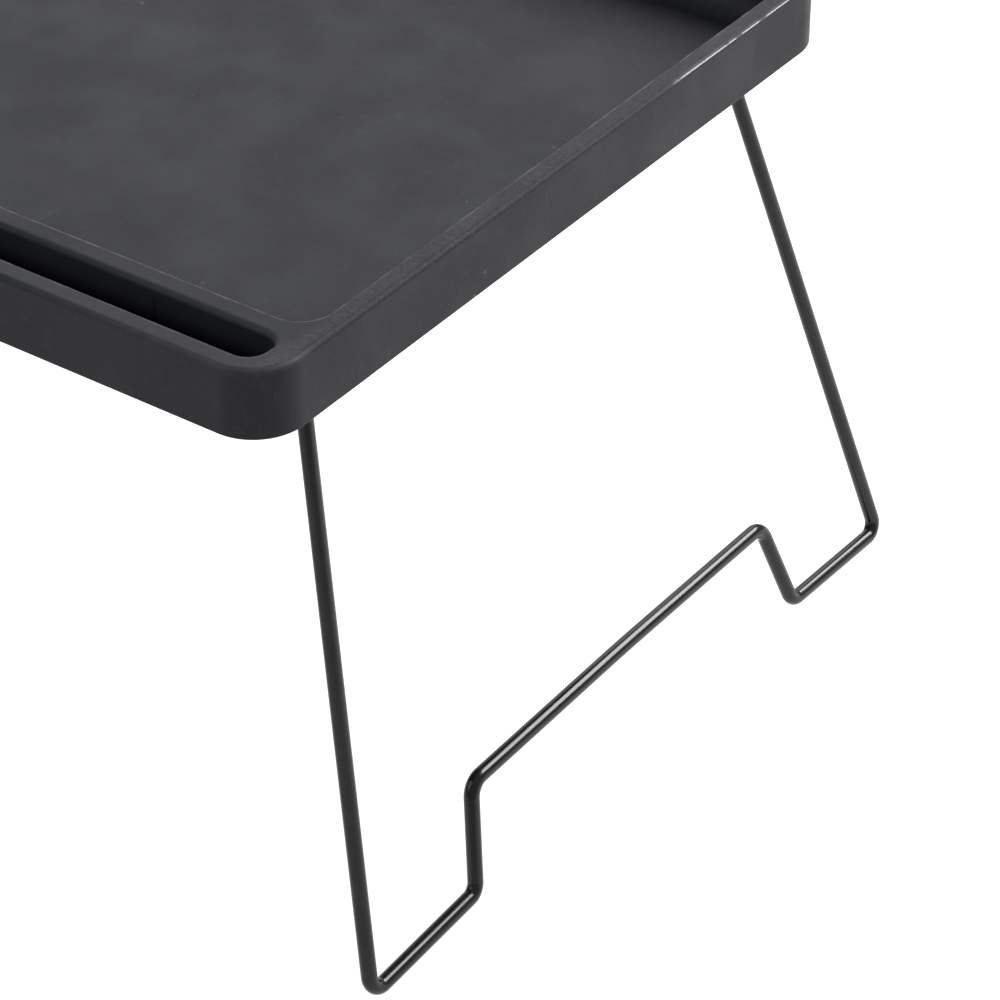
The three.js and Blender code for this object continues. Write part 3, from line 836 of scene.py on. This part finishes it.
def slot_surface():
    """From the rim down to the slot's floor. Its back edge is well rounded and its front edge is crisp."""
    path = slot_path(0)
    extra = SLOT_BACK_ROUND - SLOT_EDGE
    rounds = [SLOT_EDGE + extra * smooth_step(*SLOT_ROUND_CHANGE, out.y) for _, out, _ in path]
    loops = [[p + out * (r + EDGE_LINE_WIDTH) + Vector((0, 0, TRAY_TOP)) for (p, out, _), r in zip(path, rounds)]]
    for a in arc(0, 90, ROUND_STEPS):
        loops.append([p + out * r * (1 - math.sin(a)) + Vector((0, 0, TRAY_TOP - r * (1 - math.cos(a))))
                      for (p, out, _), r in zip(path, rounds)])
    loops.append([p + Vector((0, 0, TRAY_TOP - SLOT_SEAM_TOP + SLOT_SEAM_FADE)) for p, _, _ in path])
    loops.append([p + out * (SLOT_SEAM_DEPTH if seam else 0)
                  + Vector((0, 0, TRAY_TOP - SLOT_SEAM_TOP - SLOT_SEAM_FADE)) for p, out, seam in path])
    for a in arc(0, 90, ROUND_STEPS // 2):
        z = FLOOR_TOP + SLOT_FLOOR_ROUND * (1 - math.sin(a))
        loops.append([p + out * ((SLOT_SEAM_DEPTH if seam else 0) - SLOT_FLOOR_ROUND * (1 - math.cos(a)))
                      + Vector((0, 0, z)) for p, out, seam in path])
    return loops


def slot_outside():
    path = slot_path(WALL)
    return [[p + Vector((0, 0, z)) for p, _, _ in path] for z in (CHANNEL_TOP, TRAY_BOTTOM)]


def tray_shell():
    """The moulding without its webs, saddles, stops and bosses, as one closed surface."""
    shell = Shell()
    crown_end = len(skirt_outside()) - 2
    # The marked loops carry the pale edge line, partly rubbing and partly a painted highlight.
    outside = shell.bands(skirt_outside(), rub_and_sheen=range(crown_end - ROUND_STEPS, crown_end + 1),
                          where=lambda p: p.y > EDGE_LINE_FROM_Y)
    recess = shell.bands(recess_surface(0), inward=True, rub_and_sheen=(1, 2, 3))
    slot = shell.bands(slot_surface(), inward=True, rub_and_sheen=(1,), where=lambda p: p.y < SLOT_LINE_TO_Y)
    shell.sheet(outside[-1], [recess[0], slot[0]])
    shell.cap(recess[-1])
    shell.cap(slot[-1])
    lining = shell.bands([outer_loop(WALL, TRAY_BOTTOM), outer_loop(WALL, CHANNEL_TOP)], inward=True)
    shell.band(lining[0], outside[0])
    hidden = shell.bands(recess_surface(WALL))
    under_slot = shell.bands(slot_outside())
    shell.sheet(lining[-1], [hidden[0], under_slot[0]], up=False)
    shell.cap(hidden[-1], inward=True)
    shell.cap(under_slot[-1], inward=True)
    return shell


def rim_web(half_size, place):
    """A thin web that fills the channel between the skirt and the recess wall, across the +X side."""
    middle = recess_profile(WALL / 2)
    low = TRAY_BOTTOM + WEB_SETBACK
    high = TRAY_TOP - WALL / 2
    outline = [(half_size - WALL / 2, low), (half_size - WALL / 2, high)]
    outline += [(half_size - RIM_WIDTH - middle[0][0], high)]
    outline += [(half_size - RIM_WIDTH - inset, z) for inset, z in middle[1:]]
    outline += [(half_size - RIM_WIDTH - middle[-1][0], low)]
    return extruded(outline, place - WEB_THICKNESS / 2, place + WEB_THICKNESS / 2)


def bar_webs(place):
    """The webs either side of the slot: to the skirt in front, and to the recess wall behind."""
    low = TRAY_BOTTOM + WEB_SETBACK
    high = TRAY_TOP - WALL / 2
    skirt = -HALF_WIDTH + WALL / 2
    slot_front = SLOT_FRONT_Y - WALL / 2
    slot_back = SLOT_BACK_Y + WALL / 2
    recess_front = -HALF_WIDTH + FRONT_BAR
    behind = [(slot_back, low), (slot_back, high)]
    behind += [(recess_front + recess_profile(WALL / 2)[0][0], high)]
    behind += [(recess_front + inset, z) for inset, z in recess_profile(WALL / 2)[1:]]
    behind += [(recess_front + recess_profile(WALL / 2)[-1][0], low)]
    before = [(skirt, low), (skirt, high), (slot_front, high), (slot_front, low)]
    return [crosswise(extruded(outline, place - WEB_THICKNESS / 2, place + WEB_THICKNESS / 2))
            for outline in (before, behind)]


def web_shells():
    found = []
    for i in range(-WEBS_EACH_SIDE_X, WEBS_EACH_SIDE_X + 1):
        found += bar_webs(i * WEB_PITCH)
        found.append(crosswise(rim_web(HALF_WIDTH, i * WEB_PITCH)))
    for j in range(-WEBS_EACH_SIDE_Y, WEBS_EACH_SIDE_Y + 1):
        for sx in SIDES.values():
            found.append(mirrored(rim_web(HALF_LENGTH, j * WEB_PITCH), sx, 1))
    return found


def saddle_shell():
    """The upper half of one hinge: a block under the tray with a half-round seat for the bush."""
    x0, x1 = PIVOT_X - SADDLE_HALF_LENGTH, PIVOT_X + SADDLE_HALF_LENGTH
    outline = [(x0, PIVOT_Z)]
    outline += [(PIVOT_X - SADDLE_BORE * math.cos(a), PIVOT_Z + SADDLE_BORE * math.sin(a))
                for a in arc(0, 180, SEAT_STEPS)]
    outline += [(x1, PIVOT_Z)]
    for k in range(SADDLE_ROOF_STEPS + 1):
        x = x1 + (x0 - x1) * k / SADDLE_ROOF_STEPS
        outline.append((x, mid_wall_height(HALF_LENGTH - x)))
    return extruded(outline, SADDLE_INNER_Y, SADDLE_OUTER_Y)


def stop_shell():
    """The sloping block that the splayed wire leans against when the leg is open."""
    def face_at(z):
        return PIVOT_X + (PIVOT_Z - z) * math.tan(SPLAY) + (WIRE_RADIUS + GAP) / math.cos(SPLAY)
    top = FLOOR_TOP
    inner, outer = face_at(top), face_at(top) + STOP_THICKNESS
    outline = [(face_at(STOP_BOTTOM), STOP_BOTTOM), (face_at(STOP_BOTTOM) + STOP_THICKNESS, STOP_BOTTOM),
               (outer, mid_wall_height(HALF_LENGTH - outer)), (inner, mid_wall_height(HALF_LENGTH - inner))]
    return extruded(outline, STOP_INNER_Y, STOP_OUTER_Y)


def clip_boss_shell():
    x0 = STOWED_BAR_X + WIRE_RADIUS + CLIP_SLACK + CLIP_JAW + CLIP_SHOULDER + GAP
    x1 = STOWED_BAR_X + CLIP_TAB_REACH
    return box(x0, x1, -CLIP_HALF_WIDTH, CLIP_HALF_WIDTH, CLIP_BOSS_BOTTOM, FLOOR_TOP - WALL / 2)


def pilot_hole(x, y, low, high):
    radius = SCREW_RADIUS + GAP
    return moved(turned([(0, low), (radius, low), (radius, high), (0, high)], HOLE_SIDES), (x, y, 0))


def make_tray(material):
    tray = thing_from("tray_moulding", tray_shell())
    combine(tray, web_shells(), "UNION")
    saddles = [mirrored(part(), sx, sy)
               for sx, sy in QUADRANTS.values() for part in (saddle_shell, stop_shell)]
    bosses = [mirrored(clip_boss_shell(), sx, 1) for sx in SIDES.values()]
    combine(tray, saddles + bosses, "UNION", rounding=BLOCK_EDGE_ROUND)
    holes = []
    for sx, sy in QUADRANTS.values():
        for offset in (-CAP_SCREW_OFFSET, CAP_SCREW_OFFSET):
            top = CAP_EAR_BOTTOM + HINGE_SCREW_LENGTH + GAP
            holes.append(pilot_hole(sx * (PIVOT_X + offset), sy * SADDLE_MID_Y, PIVOT_Z - CUT_PAST, top))
    for sx in SIDES.values():
        top = CLIP_TAB_BOTTOM + CLIP_SCREW_LENGTH + GAP
        holes.append(pilot_hole(sx * (STOWED_BAR_X + CLIP_SCREW_OFFSET), 0, CLIP_BOSS_BOTTOM - CUT_PAST, top))
    combine(tray, holes, "DIFFERENCE")
    shaded(tray)
    finish_piece(tray, "tray_body", "tray", material)


# ---------------------------------------------------------------- leg frames

def bent_path(corners, bend_steps):
    """Points and directions along straight runs joined by round bends. Corners are (point, radius)."""
    knots = []
    for i, (corner, radius) in enumerate(corners):
        if i == 0:
            knots.append((corner, (corners[1][0] - corner).normalized()))
            continue
        inward = (corner - corners[i - 1][0]).normalized()
        if i == len(corners) - 1:
            knots.append((corner, inward))
            continue
        outward = (corners[i + 1][0] - corner).normalized()
        turn = inward.angle(outward)
        start = corner - inward * radius * math.tan(turn / 2)
        side = (outward - inward * inward.dot(outward)).normalized()
        steps = max(LEAST_BEND_STEPS, math.ceil(bend_steps * turn / (math.pi / 2)))
        for k in range(steps + 1):
            a = turn * k / steps
            point = start + inward * radius * math.sin(a) + side * radius * (1 - math.cos(a))
            knots.append((point, inward * math.cos(a) + side * math.sin(a)))
    return knots


def leg_corners():
    half = [
        (Vector((0, PIN_END_Y, 0)), 0),
        (Vector((0, SHOULDER_Y, 0)), PIN_BEND),
        (Vector((0, FOOT_CORNER_Y, -FOOT_DEPTH)), FOOT_BEND),
        (Vector((0, FOOT_INNER_Y, -FOOT_DEPTH + FOOT_INNER_LIFT)), FOOT_BEND),
        (Vector((0, BAR_CORNER_Y, -BAR_DEPTH)), BAR_BEND),
    ]
    other = [(Vector((0, -p.y, p.z)), radius) for p, radius in half]
    return other + [(Vector((0, 0, -(BAR_DEPTH - BAR_BOW))), BOW_BEND)] + half[::-1]


def leg_shell():
    """A round wire that follows the leg's centre line, with chamfered pin ends."""
    shell = Shell()
    flat = Vector((1, 0, 0))
    knots = bent_path(leg_corners(), BEND_STEPS)
    first, last = knots[0], knots[-1]
    stations = [(first[0], first[1], WIRE_RADIUS - PIN_CHAMFER)]
    stations += [(first[0] + first[1] * PIN_CHAMFER, first[1], WIRE_RADIUS)]
    stations += [(point, along, WIRE_RADIUS) for point, along in knots[1:-1]]
    stations += [(last[0] - last[1] * PIN_CHAMFER, last[1], WIRE_RADIUS)]
    stations += [(last[0], last[1], WIRE_RADIUS - PIN_CHAMFER)]
    rings = []
    for point, along, radius in stations:
        across = along.cross(flat).normalized()
        rings.append(shell.loop([point + (flat * math.cos(a) + across * math.sin(a)) * radius
                                 for a in arc(0, 360, WIRE_SIDES)[:-1]]))
    for a, b in zip(rings, rings[1:]):
        shell.band(a, b)
    shell.cap(rings[0], inward=True)
    shell.cap(rings[-1])
    return shell


def make_leg(side, material):
    sx = SIDES[side]
    shell = leg_shell()
    turn = Matrix.Rotation(-SPLAY, 3, "Y")
    shell.points = [turn @ p for p in shell.points]
    moved(shell, (PIVOT_X, 0, PIVOT_Z))
    mirrored(shell, sx, 1)
    leg = thing_from(f"leg_wire_{side}", shell)
    for face in leg.data.polygons:
        face.use_smooth = True
    leg.data.set_sharp_from_angle(angle=math.radians(WIRE_SHARP_ANGLE))
    finish_piece(leg, f"{side}_leg", f"leg_frame_{side}", material)


# ---------------------------------------------------------------- hinges

def screw_profile(length):
    """A screw standing on its head at z = 0: countersunk head, ridges for its thread, and point."""
    root = SCREW_RADIUS - THREAD_DEPTH
    points = [(0, 0), (SCREW_HEAD_RADIUS - SCREW_HEAD_CHAMFER, 0), (SCREW_HEAD_RADIUS, SCREW_HEAD_CHAMFER),
              (SCREW_RADIUS, SCREW_HEAD_HEIGHT)]
    z = SCREW_HEAD_HEIGHT + THREAD_PITCH
    while z < length - SCREW_POINT - THREAD_PITCH:
        points += [(root, z), (root, z + THREAD_ROOT), (SCREW_RADIUS, z + THREAD_CREST)]
        z += THREAD_PITCH
    return points + [(root, length - SCREW_POINT), (0, length)]


def drive_cross():
    r, h = DRIVE_REACH, DRIVE_HALF_WIDTH
    outline = [(h, -r), (h, -h), (r, -h), (r, h), (h, h), (h, r),
               (-h, r), (-h, h), (-r, h), (-r, -h), (-h, -h), (-h, -r)]
    return laid_over(extruded(outline, -CUT_PAST, DRIVE_DEPTH))


def make_screw(node, place, length, material):
    """A screw whose drive cross stops at an angle of its own, as driven screws' do."""
    screw = thing_from(f"{node}_steel", turned(screw_profile(length), SCREW_SIDES))
    combine(screw, [drive_cross()], "DIFFERENCE")
    screw.data.transform(Matrix.Rotation(SCREW_TURN * (len(node) % SCREW_TURNS), 4, "Z"))
    screw.data.transform(Matrix.Translation(Vector(place) * MM))
    shaded(screw, SCREW_SHARP_ANGLE)
    finish_piece(screw, "tray_body", node, material)


def countersink(x, y, z, length):
    """The hole that a screw's head and shank pass through, cut from a little below its head."""
    head = SCREW_HEAD_RADIUS + GAP
    shank = SCREW_RADIUS + GAP
    profile = [(0, -CUT_PAST), (head, -CUT_PAST), (head, 0),
               (shank, SCREW_HEAD_HEIGHT), (shank, length), (0, length)]
    return moved(turned(profile, SCREW_SIDES), (x, y, z))


def cap_outline():
    """The strap that closes a hinge from below: two ears and a round nose under the bush."""
    dip = math.degrees(math.asin(GAP / SADDLE_BORE))
    flank = math.degrees(math.asin((GAP + CAP_EAR) / CAP_NOSE))
    x0, x1 = PIVOT_X - SADDLE_HALF_LENGTH, PIVOT_X + SADDLE_HALF_LENGTH
    nose = [(PIVOT_X + CAP_NOSE * math.cos(a), PIVOT_Z + CAP_NOSE * math.sin(a))
            for a in arc(180 + flank, 360 - flank, NOSE_STEPS)]
    seat = [(PIVOT_X + SADDLE_BORE * math.cos(a), PIVOT_Z + SADDLE_BORE * math.sin(a))
            for a in arc(360 - dip, 180 + dip, SEAT_STEPS)]
    return [(x0, CAP_TOP), (x0, CAP_EAR_BOTTOM)] + nose + [(x1, CAP_EAR_BOTTOM), (x1, CAP_TOP)] + seat


def make_cap(name, sx, sy, material):
    strap = extruded(cap_outline(), SADDLE_INNER_Y, SADDLE_OUTER_Y)
    cap = thing_from(f"hinge_strap_{name}", mirrored(strap, sx, sy))
    rounded(cap, CAP_EDGE_ROUND)
    holes = [countersink(sx * (PIVOT_X + offset), sy * SADDLE_MID_Y, CAP_EAR_BOTTOM, HINGE_SCREW_LENGTH)
             for offset in (-CAP_SCREW_OFFSET, CAP_SCREW_OFFSET)]
    combine(cap, holes, "DIFFERENCE")
    shaded(cap)
    finish_piece(cap, "tray_body", f"hinge_cap_{name}", material)


def make_bush(name, sx, sy, material):
    bore = WIRE_RADIUS + GAP
    outer = bore + BUSH_WALL
    inner_y, flange_y = SADDLE_INNER_Y, SADDLE_OUTER_Y + GAP
    end_y = flange_y + BUSH_FLANGE
    edge = BUSH_CHAMFER
    flange = BUSH_FLANGE_RADIUS
    profile = [(bore, inner_y + edge), (bore + edge, inner_y), (outer - edge, inner_y),
               (outer, inner_y + edge), (outer, flange_y), (flange - edge, flange_y),
               (flange, flange_y + edge), (flange, end_y - edge), (flange - edge, end_y),
               (bore + edge, end_y), (bore, end_y - edge)]
    sleeve = moved(laid_over(turned(profile, BUSH_SIDES)), (PIVOT_X, 0, PIVOT_Z))
    bush = thing_from(f"bush_sleeve_{name}", mirrored(sleeve, sx, sy))
    shaded(bush, BUSH_SHARP_ANGLE)
    finish_piece(bush, "tray_body", f"pivot_bush_{name}", material)


def make_hinges(cap_material, bush_material, screw_material):
    for name, (sx, sy) in QUADRANTS.items():
        make_cap(name, sx, sy, cap_material)
        make_bush(name, sx, sy, bush_material)
        for label, offset in (("inner", -CAP_SCREW_OFFSET), ("outer", CAP_SCREW_OFFSET)):
            place = (sx * (PIVOT_X + offset), sy * SADDLE_MID_Y, CAP_EAR_BOTTOM)
            make_screw(f"hinge_screw_{name}_{label}", place, HINGE_SCREW_LENGTH, screw_material)


# ---------------------------------------------------------------- storage clips

def clip_outline():
    """Two jaws that the raised bar of a folded leg presses up between, and a tab for the screw."""
    inner = WIRE_RADIUS + CLIP_SLACK
    outer = inner + CLIP_JAW
    top = TRAY_BOTTOM - CLIP_ROOF_GAP
    tip = STOWED_BAR_Z - WIRE_RADIUS - CLIP_SLACK
    tab_top = CLIP_BOSS_BOTTOM - GAP
    roof_z = STOWED_BAR_Z + CLIP_SLACK
    roof = [(inner * math.cos(a), roof_z + inner * math.sin(a)) for a in arc(180, 0, JAW_STEPS)]
    points = [(-outer, top), (-outer, tip + JAW_TIP_CHAMFER), (-inner - JAW_TIP_WIDTH, tip),
              (-inner, tip + JAW_LEAD_IN)] + roof
    points += [(inner, tip + JAW_LEAD_IN), (inner + JAW_TIP_WIDTH, tip), (outer, tip + JAW_TIP_CHAMFER),
               (outer, CLIP_TAB_BOTTOM), (CLIP_TAB_REACH, CLIP_TAB_BOTTOM), (CLIP_TAB_REACH, tab_top),
               (outer + CLIP_SHOULDER, tab_top), (outer + CLIP_SHOULDER, top)]
    return [(STOWED_BAR_X + x, z) for x, z in points]


def make_clips(clip_material, screw_material):
    for side, sx in SIDES.items():
        screw_x = STOWED_BAR_X + CLIP_SCREW_OFFSET
        jaws = extruded(clip_outline(), -CLIP_HALF_WIDTH, CLIP_HALF_WIDTH)
        clip = thing_from(f"clip_body_{side}", mirrored(jaws, sx, 1))
        rounded(clip, CLIP_EDGE_ROUND)
        combine(clip, [countersink(sx * screw_x, 0, CLIP_TAB_BOTTOM, CLIP_SCREW_LENGTH)], "DIFFERENCE")
        shaded(clip)
        finish_piece(clip, "tray_body", f"storage_clip_{side}", clip_material)
        place = (sx * screw_x, 0, CLIP_TAB_BOTTOM)
        make_screw(f"clip_screw_{side}", place, CLIP_SCREW_LENGTH, screw_material)


# ---------------------------------------------------------------- studio

FLOOR_HALF = 6.0
WORLD_COLOUR = (0.92, 0.94, 1.0, 1)
WORLD_STRENGTH = 0.42
SOFTBOXES = (
    {"name": "back_softbox", "place": (1.0, 1.68, 1.85), "target": (0.25, 0, 0.1),
     "width": 1.5, "height": 1.15, "power": 102, "colour": (1.0, 0.955, 0.935)},
    {"name": "backdrop", "place": (-1.6, 2.2, 2.0), "target": (0, 0, 0.2),
     "width": 2.6, "height": 2.0, "power": 31, "colour": (0.91, 0.935, 1.0)},
    {"name": "front_fill", "place": (-0.95, -1.3, 1.55), "target": (0, 0, 0.2),
     "width": 1.5, "height": 1.5, "power": 10.8, "colour": (0.93, 0.95, 1.0)},
)


def make_floor():
    data = bpy.data.meshes.new("studio_floor")
    corners = [(sx * FLOOR_HALF, sy * FLOOR_HALF, 0) for sx, sy in ((-1, -1), (1, -1), (1, 1), (-1, 1))]
    data.from_pydata(corners, [], [(0, 1, 2, 3)])
    floor = linked("studio_floor", data)
    data.materials.append(floor_paint())


def make_softbox(name, place, target, width, height, power, colour):
    data = bpy.data.lights.new(name, "AREA")
    data.color = colour
    data.shape = "RECTANGLE"
    data.size = width
    data.size_y = height
    data.energy = power
    light = bpy.data.objects.new(name, data)
    bpy.context.scene.collection.objects.link(light)
    light.location = place
    light.rotation_euler = (Vector(target) - Vector(place)).to_track_quat("-Z", "Y").to_euler()


def make_light():
    world = bpy.data.worlds.new("studio")
    bpy.context.scene.world = world
    world.use_nodes = True
    background = world.node_tree.nodes["Background"]
    background.inputs["Color"].default_value = WORLD_COLOUR
    background.inputs["Strength"].default_value = WORLD_STRENGTH
    for softbox in SOFTBOXES:
        make_softbox(**softbox)


# ---------------------------------------------------------------- the table

make_camera()
make_tray(tray_plastic())
wire = wire_coating()
for side in SIDES:
    make_leg(side, wire)
small_plastic = cap_plastic()
steel = plated_steel()
make_hinges(small_plastic, bush_plastic(), steel)
make_clips(small_plastic, steel)
make_floor()
make_light()

scene = bpy.context.scene
scene.view_settings.view_transform = "Standard"
scene.cycles.use_denoising = True
